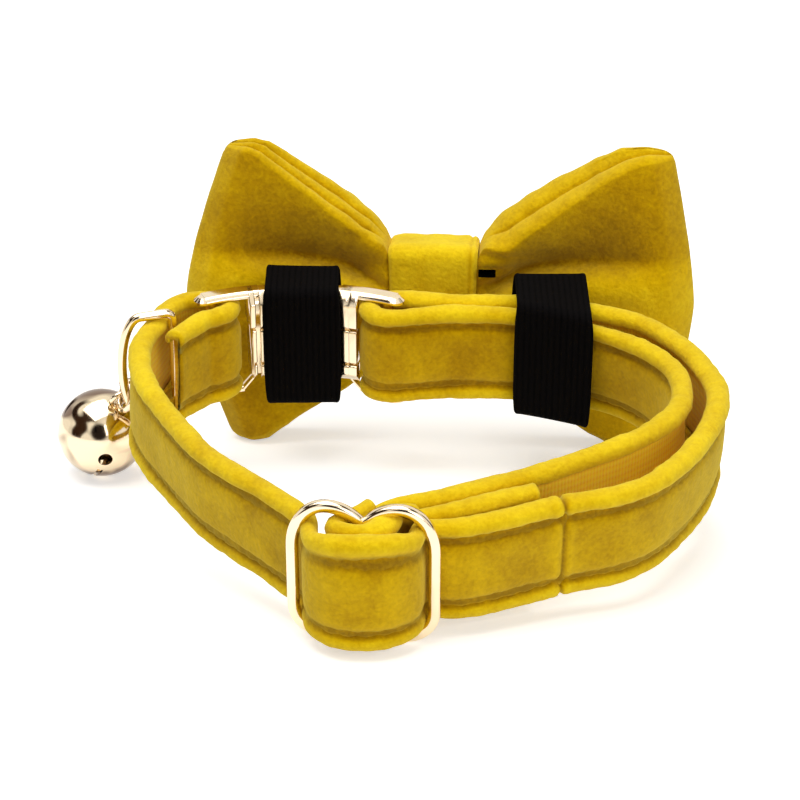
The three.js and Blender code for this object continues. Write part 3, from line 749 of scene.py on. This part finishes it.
d_ring = sweep_wire("d_ring_wire", even_path(ring_path, 0.4), D_WIRE, at_ring, 18)
d_ring.data.materials.append(gold_plate)
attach(d_ring, "root")
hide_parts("d_ring")

# Jump ring: a small round link of gold-plated wire that joins the bell to the D-ring.
LINK = {"radius": 2.7, "wire": 0.5, "centre": (-46.8, 60.74, 3.03), "axis": (0.809, 0.302, -0.504)}


def ring_round(name, centre, axis, radius, wire, turns=64):
    """A round ring about an axis, all in level collar millimetres."""
    axis = Vector(axis).normalized()
    first = axis.orthogonal().normalized()
    second = axis.cross(first)
    rings = []
    for t in np.linspace(0, 2 * math.pi, turns, endpoint=False):
        spoke = first * math.cos(t) + second * math.sin(t)
        ring = []
        for s in np.linspace(0, 2 * math.pi, 14, endpoint=False):
            p = Vector(centre) + spoke * (radius + wire * math.cos(s)) + axis * (wire * math.sin(s))
            ring.append(lay_down(*p))
        rings.append(ring)
    return make_piece(name, np.array(rings), closed=True)


jump_ring = ring_round("jump_ring_link", LINK["centre"], LINK["axis"], LINK["radius"], LINK["wire"])
jump_ring.data.materials.append(gold_plate)
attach(jump_ring, "root")
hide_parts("jump_ring")

# Bell: two pressed cups of plated steel joined as one ball, with a slot between two round
# holes and a wire eye soldered on top. A loose steel ball lies inside.
BELL = {
    "radius": 7.7, "wall": 0.6, "centre": (-52.08, 63.89, -6.34), "up": (0.408, -0.226, 0.885),
    "slot": 1.0, "slot_turn": 1.75, "slot_end": (0.2065, -0.977, -0.047), "hole": 1.25,
}
bell_plate, tree, shader = new_material("bell_plate")
place = tree.nodes.new("ShaderNodeTexCoord").outputs["Object"]
# painted reflection: dark brown patches in the plate's colour stand in for darker things mirrored in it
painted_dark_reflections = link_noise(tree, place, 125, 1.5, 0.8)
tree.links.new(link_ramp(tree, painted_dark_reflections, [
    (0.44, (0.24, 0.16, 0.11, 1)),
    (0.58, (0.90, 0.75, 0.52, 1)),
]), shader.inputs["Base Color"])
shader.inputs["Metallic"].default_value = 1.0
shader.inputs["Roughness"].default_value = 0.11
bell_up = Vector(BELL["up"]).normalized()
bell_side = Vector(BELL["slot_end"])
bell_side = (bell_side - bell_up * bell_side.dot(bell_up)).normalized()
bell_cross = bell_up.cross(bell_side)


def bell_place(points):
    """Bell millimetres, with y up through the eye and z towards the slot's end, to the frame."""
    points = np.asarray(points, float)
    level = (np.array(BELL["centre"]) + points[:, :1] * np.array(bell_cross)
             + points[:, 1:2] * np.array(bell_up) + points[:, 2:] * np.array(bell_side))
    return lay_down(*level.T)


bpy.ops.mesh.primitive_uv_sphere_add(segments=96, ring_count=64, radius=BELL["radius"])
bell = bpy.context.object
bell.name = "bell_shell"
wall = bell.modifiers.new("wall", "SOLIDIFY")
wall.thickness = BELL["wall"]
wall.offset = -1
bpy.ops.object.modifier_apply(modifier=wall.name)
cutters = []
slot_reach = BELL["radius"] * math.sin(BELL["slot_turn"])
slot_depth = BELL["radius"] * math.cos(BELL["slot_turn"])
bpy.ops.mesh.primitive_cube_add(
    size=1, location=(0, -(slot_depth + 5), 0), scale=(BELL["slot"], 10, 2 * slot_reach))
cutters.append(bpy.context.object)
for end in (-1, 1):
    bpy.ops.mesh.primitive_cylinder_add(
        vertices=48, radius=BELL["hole"], depth=5,
        location=(0, -slot_depth, end * slot_reach),
        rotation=((1 if end > 0 else -1) * (math.pi / 2 - BELL["slot_turn"]), 0, 0))
    cutters.append(bpy.context.object)
for cutter in cutters:
    bpy.context.view_layer.objects.active = bell
    cut = bell.modifiers.new("cut", "BOOLEAN")
    cut.operation = "DIFFERENCE"
    cut.solver = "EXACT"
    cut.object = cutter
    bpy.ops.object.modifier_apply(modifier=cut.name)
    bpy.data.objects.remove(cutter)
co = np.array([v.co for v in bell.data.vertices])
for vertex, moved in zip(bell.data.vertices, bell_place(co)):
    vertex.co = moved
bpy.ops.object.select_all(action="DESELECT")
bell.select_set(True)
bpy.context.view_layer.objects.active = bell
bpy.ops.object.shade_smooth_by_angle(angle=math.radians(40))
eye_axis = Vector((-0.495, 0.759, 0.422))
eye_axis = (eye_axis - bell_up * eye_axis.dot(bell_up)).normalized()
eye_centre = Vector(BELL["centre"]) + bell_up * (BELL["radius"] + 1.2)
bell_eye = ring_round("eye", eye_centre, eye_axis, 1.5, 0.45, 40)
bell = join_pieces("bell_shell", bell, bell_eye)
bell.data.materials.clear()
bell.data.materials.append(bell_plate)
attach(bell, "root")
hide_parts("bell")

bell_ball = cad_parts["bell_ball"]
bell_ball.data.materials.clear()
bell_ball.data.materials.append(gold_plate)

# Bow: a wide loop of padded velvet pressed flat and pinched in the middle, so that each wing
# has a deep pleat and its layers lie together as rolls along the top edge.
BOW_AT = (9.5112, 42.3587)
BOW_TURN = -0.078
BOW_MIDDLE = 27.7
BOW_PLAN = [
    # reach as a share of the half width, depth before or behind the middle, half height
    (0.0, 1.65, 5.8), (0.15, 1.65, 6.0), (0.172, 1.9, 8.2), (0.2, 2.6, 11.2), (0.235, 3.3, 13.1),
    (0.27, 3.7, 14.8), (0.36, 4.0, 17.8), (0.5, 4.0, 21.7), (0.66, 4.0, 25.1), (0.82, 3.8, 27.2),
    (0.94, 2.8, 27.8), (1.0, 1.6, 27.8), (1.036, 1.2, 27.8),
]
WINGS = {
    # reach, pull-in of the corners, rolls along the top, height of the rolls at the knot and corner
    -1: {"reach": 42.6, "pull": 0.18, "rolls": 3, "band": (4.4, 1.0)},
    1: {"reach": 44.4, "pull": 0.105, "rolls": 2, "band": (6.2, 1.8)},
}
PLEAT_REACH = [0, 0.19, 0.24, 0.33, 0.5, 0.7, 0.88, 1.04]  # where the pleats' depths are given
BACK_STEPS, BAND_STEPS, CAP_STEPS, FRONT_STEPS = 60, 32, 8, 56
ON_BACK = slice(0, BACK_STEPS)
ON_BAND = slice(BACK_STEPS, BACK_STEPS + BAND_STEPS)
FRONT_START = BACK_STEPS + BAND_STEPS + CAP_STEPS
ON_FRONT = slice(FRONT_START, FRONT_START + FRONT_STEPS)


def bow_ring(share):
    """One closed outline of a wing at this share of its reach; negative shares are the left wing."""
    wing = WINGS[-1 if share < 0 else 1]
    r = abs(share)
    reach, plan_depth, plan_rise = np.array(BOW_PLAN).T
    depth = np.interp(r, reach, plan_depth)
    rise = np.interp(r, reach, plan_rise)
    closing = math.sqrt(max(0.0, 1 - max(0.0, (r - 0.93) / 0.107) ** 2))
    body = (depth + 1.45) * max(closing, 0.10)
    open_wing = float(smooth_step(r, 0.19, 0.3))
    band_near, band_far = wing["band"]
    top = (band_near + (band_far - band_near) * float(smooth_step(r, 0.3, 1.0))) / rise
    top = 0.12 + (top - 0.12) * open_wing
    bottom = 1.6 / rise
    edge_depth = body * 0.72

    # the side towards the neck, with its deep pleat and the lip below it
    a = np.linspace(-1 + bottom, 1 - top, BACK_STEPS)
    valley_at = 0.31 - 0.12 * (1 - float(smooth_step(r, 0.2, 0.4)))
    pit = np.interp(r, PLEAT_REACH, [0, 0.2, 2.6, 4.7, 4.6, 3.5, 1.7, 0.0])
    upper = np.clip(1 - (a - valley_at) / max(1 - top - valley_at, 0.05), 0, 1) ** 1.25
    lower = np.exp(-((np.clip(valley_at - a, 0, 9) / 0.085) ** 1.6))
    valley = np.where(a >= valley_at, upper, lower) * pit
    lip = 0.75 * open_wing * np.exp(-(((a - valley_at + 0.20) / 0.13) ** 2))
    lip = lip * (1 - 0.7 * smooth_step(r, 0.6, 1))
    low_fold = 0.9 * open_wing * (1 - r) * np.exp(-(((a + 0.42) / 0.12) ** 2))
    back = body * (1 - 0.28 * open_wing * a * a) - valley + lip - low_fold
    back = np.maximum(back, 0.16 * body)
    back_points = np.stack([-back, a], axis=1)

    # the rolls along the top edge
    q = np.linspace(0, 1, BAND_STEPS + 2)[1:-1]
    start = np.array([-back[-1], 1 - top])
    stop = np.array([0.45 * edge_depth, 1.0])
    line = start + (stop - start) * q[:, None]
    toward = (stop - start) * (1, rise)
    length = np.linalg.norm(toward)
    outward = np.array([-toward[1], toward[0]]) / max(length, 1e-6)
    rolls = wing["rolls"]
    swell = np.abs(np.sin(math.pi * q * rolls)) ** 0.7
    size = min(0.20 * length / rolls * 1.9, 0.85) * open_wing
    crease = sum(np.exp(-(((q - k / rolls) / 0.018) ** 2)) for k in range(0, rolls))
    offset = size * swell - 0.45 * open_wing * crease * min(1.0, length / 4)
    band_points = line + np.stack([outward[0] * offset, outward[1] * offset / rise], axis=1)

    turn = np.linspace(0, math.pi / 2, CAP_STEPS + 2)[1:-1]
    near_top = 1.3 / rise
    cap_points = np.stack([
        0.45 * edge_depth + 0.55 * edge_depth * np.sin(turn),
        1 - near_top + near_top * np.cos(turn)], axis=1)

    # the front, with two shallow pleats, and the lower edge
    b = np.linspace(1 - near_top, -1 + bottom, FRONT_STEPS)
    front_pit = np.interp(r, PLEAT_REACH, [0, 0.2, 1.6, 2.6, 2.2, 1.3, 0.5, 0.0])
    fold = sum(np.exp(-((np.abs(b - f) / 0.13) ** 1.7)) for f in (0.34, -0.34))
    front = body * (1 - 0.28 * open_wing * b * b) - front_pit * fold
    front = front + 0.5 * open_wing * np.exp(-((b / 0.16) ** 2))
    front_points = np.stack([front, b], axis=1)

    under = np.linspace(0, math.pi, 16)[1:-1]
    d0, d1 = front[-1], -back[0]
    gap = 1 - 0.35 * np.exp(-(((under - math.pi / 2) / 0.2) ** 2))
    under_points = np.stack([
        (d0 + d1) / 2 + (d0 - d1) / 2 * np.cos(under),
        -1 + bottom - bottom * np.sin(under) * gap], axis=1)

    # the corners are drawn in towards the knot; painted shade is kept in the pleats and creases, with a
    # painted highlight on the lip and a painted shadow of the strap on the left wing's lower corner
    ring = np.vstack([back_points, band_points, cap_points, front_points, under_points])
    d, across = ring.T
    end = float(smooth_step(r, 0.45, 1))
    corner = 1 - np.sqrt(1 - np.clip((np.abs(across) - 0.92) / 0.0801, 0, 0.999) ** 2)
    u = share * wing["reach"] * (1 - (wing["pull"] * np.abs(across) ** 1.35 + 0.045 * corner) * end)
    d = d - 2.4 * end
    z = BOW_MIDDLE + across * rise
    dark = np.zeros(len(ring))
    # painted shadow: the left wing's lower corner, under the strap, is kept darker
    painted_strap_shadow = float(smooth_step(r, 0.45, 0.95)) * smooth_step(-a, 0.1, 0.8) * (share < 0)
    shade = valley / 4.2 + 0.50 * open_wing * smooth_step(a, valley_at - 0.05, valley_at + 0.04)
    shade = shade - 0.45 * open_wing * np.exp(-(((a - valley_at + 0.24) / 0.14) ** 2))
    dark[ON_BACK] = shade + 0.75 * painted_strap_shadow
    dark[ON_FRONT] = front_pit * fold / 3
    dark[ON_BAND] = crease * 0.6
    return np.stack([u, d, z], axis=1), dark


shares = np.concatenate([
    np.linspace(0, 0.17, 5)[:-1], np.linspace(0.17, 0.34, 22)[:-1], np.linspace(0.34, 0.92, 54)[:-1],
    0.92 + 0.1165 * np.sin(np.linspace(0, math.pi / 2, 14))])
shares = np.concatenate([-shares[:0:-1], shares])
rings, darks = [], []
for share in shares:
    ring, dark = bow_ring(share)
    rings.append(ring)
    darks.append(dark)
rings, darks = np.array(rings), np.array(darks)
near_knot = np.exp(-((np.abs(shares) - 0.2) / 0.14) ** 2)[:, None]
flat = rings.reshape(-1, 3)
waves = noise_at(flat * (1, 0.5, 1), 0.07, 4.4).reshape(darks.shape)
dimples = noise_at(flat, 0.28, 9.1).reshape(darks.shape)
gathers = np.sin(rings[..., 2] * 1.5 + 6 * noise_at(flat * (0.25, 0.3, 1), 0.12, 1.7).reshape(darks.shape))
side = np.sign(rings[..., 1] + 2.4 * smooth_step(np.abs(shares), 0.45, 1)[:, None])
thin = np.clip(np.abs(rings[..., 1]) / 3, 0, 1)
rings[..., 1] += side * (0.5 * waves + 0.22 * dimples + 0.28 * gathers * near_knot) * thin
rings[..., 2] += 0.25 * dimples * (np.abs(rings[..., 2] - BOW_MIDDLE) > 6)
rings[..., 2] = np.maximum(rings[..., 2], 0.0)


def at_bow(u, d, z):
    cos, sin = math.cos(BOW_TURN), math.sin(BOW_TURN)
    return np.stack([BOW_AT[0] + u * cos - d * sin, BOW_AT[1] + u * sin + d * cos, z], axis=-1) / 1000


# painted shade: the darker places of each wing lower the velvet's tone
tones = np.stack([
    np.broadcast_to(shares[:, None], darks.shape), darks * 0, np.clip(0.60 - 0.40 * darks, 0, 1)], axis=-1)
bow = make_piece("bow_wings", at_bow(*np.moveaxis(rings, -1, 0)), tones=tones)
bow.data.materials.append(velvet)
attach(bow, "root")
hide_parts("bow")

# Knot: a folded strip of the same velvet drawn round the middle of the bow, its edges turned
# under, with a seam just inside its right edge.
KNOT_HALF = 7.6
KNOT_LOW, KNOT_HIGH = 18.9, 37.8
KNOT_DEPTH = 5.3  # before and behind the bow's middle
KNOT_THICK = 1.8
KNOT_SEAM = 6.35


def rounded_loop(low, high, radius, spacing):
    (x0, y0), (x1, y1) = low, high
    path = arc((x1 - radius, y0 + radius), radius, -90, 0, 10)
    path += arc((x1 - radius, y1 - radius), radius, 0, 90, 10)
    path += arc((x0 + radius, y1 - radius), radius, 90, 180, 10)
    path += arc((x0 + radius, y0 + radius), radius, 180, 270, 10)
    return even_path(path, spacing)


def loop_normals(path):
    ahead = np.roll(path, -1, axis=0) - np.roll(path, 1, axis=0)
    ahead /= np.linalg.norm(ahead, axis=1)[:, None]
    return np.stack([ahead[:, 1], -ahead[:, 0]], axis=1)


def strip_section(left, right, thick, steps, rounding):
    """Outline of a flat strip across its width: place across, and distance in from its face."""
    outer = [(c, 0.0) for c in np.linspace(left + rounding, right - rounding, steps)]
    over = arc((right - rounding, 0), rounding, 90, -90, 8)
    over = [(c, (rounding - h) / (2 * rounding) * thick) for c, h in over]
    inner = [(c, thick) for c in np.linspace(right - rounding, left + rounding, steps)]
    under = [(left + right - c, thick - h) for c, h in over]
    return np.array(outer + over[1:-1] + inner + under[1:-1])


path = rounded_loop((-KNOT_DEPTH, KNOT_LOW), (KNOT_DEPTH, KNOT_HIGH), 2.6, 0.7)
normals = loop_normals(path)
section = strip_section(-KNOT_HALF, KNOT_HALF, KNOT_THICK, 34, 0.8)
c, inward = section.T
outside = inward < 0.9
folds = 0.07 * np.sin(c * 1.15 + 0.8) + 0.03 * np.sin(c * 2.3 + 2.0)
crowned = 0.35 * (1 - (c / KNOT_HALF) ** 4)
stitched = 0.34 * np.exp(-(((c - KNOT_SEAM) / 0.28) ** 2))
lift = (folds + crowned - stitched - 0.35) * outside
shape = (len(path), len(c))
places = [np.broadcast_to(p, shape).ravel() for p in (c, path[:, :1], path[:, 1:])]
wobble = noise_at(np.stack(places, axis=1), 0.22, 5.5).reshape(shape)
off = -inward + lift + 0.10 * wobble * outside
d = path[:, :1] + normals[:, :1] * off
z = path[:, 1:] + normals[:, 1:] * off
u = np.broadcast_to(c, d.shape) * (1 + 0.035 * np.abs(path[:, 1:] - BOW_MIDDLE) / 8.6)
# painted light: the knot's velvet is toned lighter than the wings, with painted shade along its seam
painted_light = np.clip(0.98 + 0.25 * wobble - stitched, 0, 1)
tones = np.stack([0 * painted_light, 0 * painted_light, painted_light], axis=-1)
knot = make_piece("bow_knot_band", at_bow(u, d, z), closed=True, tones=tones)
knot.data.materials.append(velvet)
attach(knot, "root")
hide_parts("bow_knot")

# Elastic tab: the short end of the black elastic, caught between the knot and the right wing.
# It is cut square and its edges are a little rounded.
bpy.ops.mesh.primitive_cube_add(size=1, location=(0, 0, 0), scale=(3.0, 1.1, 1.0))
tab = bpy.context.object
tab.name = "elastic_tab_end"
bpy.ops.object.mode_set(mode="EDIT")
bpy.ops.mesh.select_all(action="SELECT")
bpy.ops.mesh.subdivide(number_cuts=3)
bpy.ops.mesh.bevel(offset=0.3, segments=3, affect="EDGES")
bpy.ops.object.mode_set(mode="OBJECT")
co = np.array([v.co for v in tab.data.vertices])
co[:, 1] -= 0.16 * np.cos(co[:, 0] * 1.1)
for vertex, moved in zip(tab.data.vertices, at_bow(co[:, 0] + 9.6, co[:, 1] - 5.5, co[:, 2] + 33.4)):
    vertex.co = moved
bpy.ops.object.shade_smooth()

# Elastic loops: two bands of black woven elastic sewn to the back of the bow. The collar runs
# through both, so the bow can be taken off.
ELASTIC_LOOPS = [
    # node, left and right edge, front, back, lower and upper edge, skew of the front
    ("elastic_left", -23.5, -10.2, 65.9, 77.2, -2.4, 20.4, 0.0),
    ("elastic_right", 19.4, 32.4, 61.6, 74.4, -1.9, 20.4, 0.42),
]
elastic_band, tree, shader = new_material("black_elastic")
place = tree.nodes.new("ShaderNodeTexCoord").outputs["Object"]
fluff = link_noise(tree, place, 1200, 2)
lay, _ = link_lay(tree)
ribs = tree.nodes.new("ShaderNodeTexWave")
ribs.bands_direction = "X"
ribs.inputs["Scale"].default_value = 1000 / 0.5 / 20 * 3.1416
ribs.inputs["Distortion"].default_value = 0.6
tree.links.new(lay, ribs.inputs["Vector"])
weave = link_math(tree, "ADD", ribs.outputs["Fac"], fluff)
tree.links.new(link_ramp(tree, weave, [
    (0.3, (0.0008, 0.0007, 0.0007, 1)),
    (1.0, (0.0032, 0.0026, 0.0026, 1)),
]), shader.inputs["Base Color"])
link_bump(tree, shader, weave, 0.4, 0.0001)
shader.inputs["Roughness"].default_value = 0.85
shader.inputs["Specular IOR Level"].default_value = 0.03
for node, left, right, front, back, low, high, skew in ELASTIC_LOOPS:
    path = rounded_loop((front, low), (back, high), 1.8, 0.5)
    normals = loop_normals(path)
    section = strip_section(left, right, 1.1, 30, 0.45)
    c, inward = section.T
    cord_edge = 0.10 * np.exp(-((np.minimum(c - left, right - c) / 0.9) ** 2))
    on_front = path[:, :1] < front + 1.9
    fold_line = 0.12 * np.exp(-(((path[:, 1:] - high + 3.9) / 0.3) ** 2)) * on_front
    soft_wave = 0.10 * np.sin(path[:, 1:] * 0.35 + c * 0.2)
    off = -inward + (cord_edge + fold_line + soft_wave - 0.12) * (inward < 0.55)
    py = path[:, :1] + normals[:, :1] * off
    pz = path[:, 1:] + normals[:, 1:] * off
    waist = 1 - 0.07 * np.clip(np.abs(2 * pz - low - high) / (high - low), 0, 1) ** 5
    px = (left + right) / 2 + (c - (left + right) / 2) * waist
    shift = -skew * (px - left) * np.clip((back - py) / (back - front), 0, 1)
    travelled = np.arange(len(path))[:, None] * 0.5
    tones = np.stack([px / 1000, np.broadcast_to(travelled, px.shape) / 1000, 0.5 + 0 * px], axis=-1)
    band = make_piece(node + "_band", lay_down(px, py + shift, pz), closed=True, tones=tones)
    band.data.materials.append(elastic_band)
    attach(band, "root")
    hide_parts(node)
tab.data.materials.append(elastic_band)
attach(tab, "root")
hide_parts("elastic_tab")

bpy.context.view_layer.update()
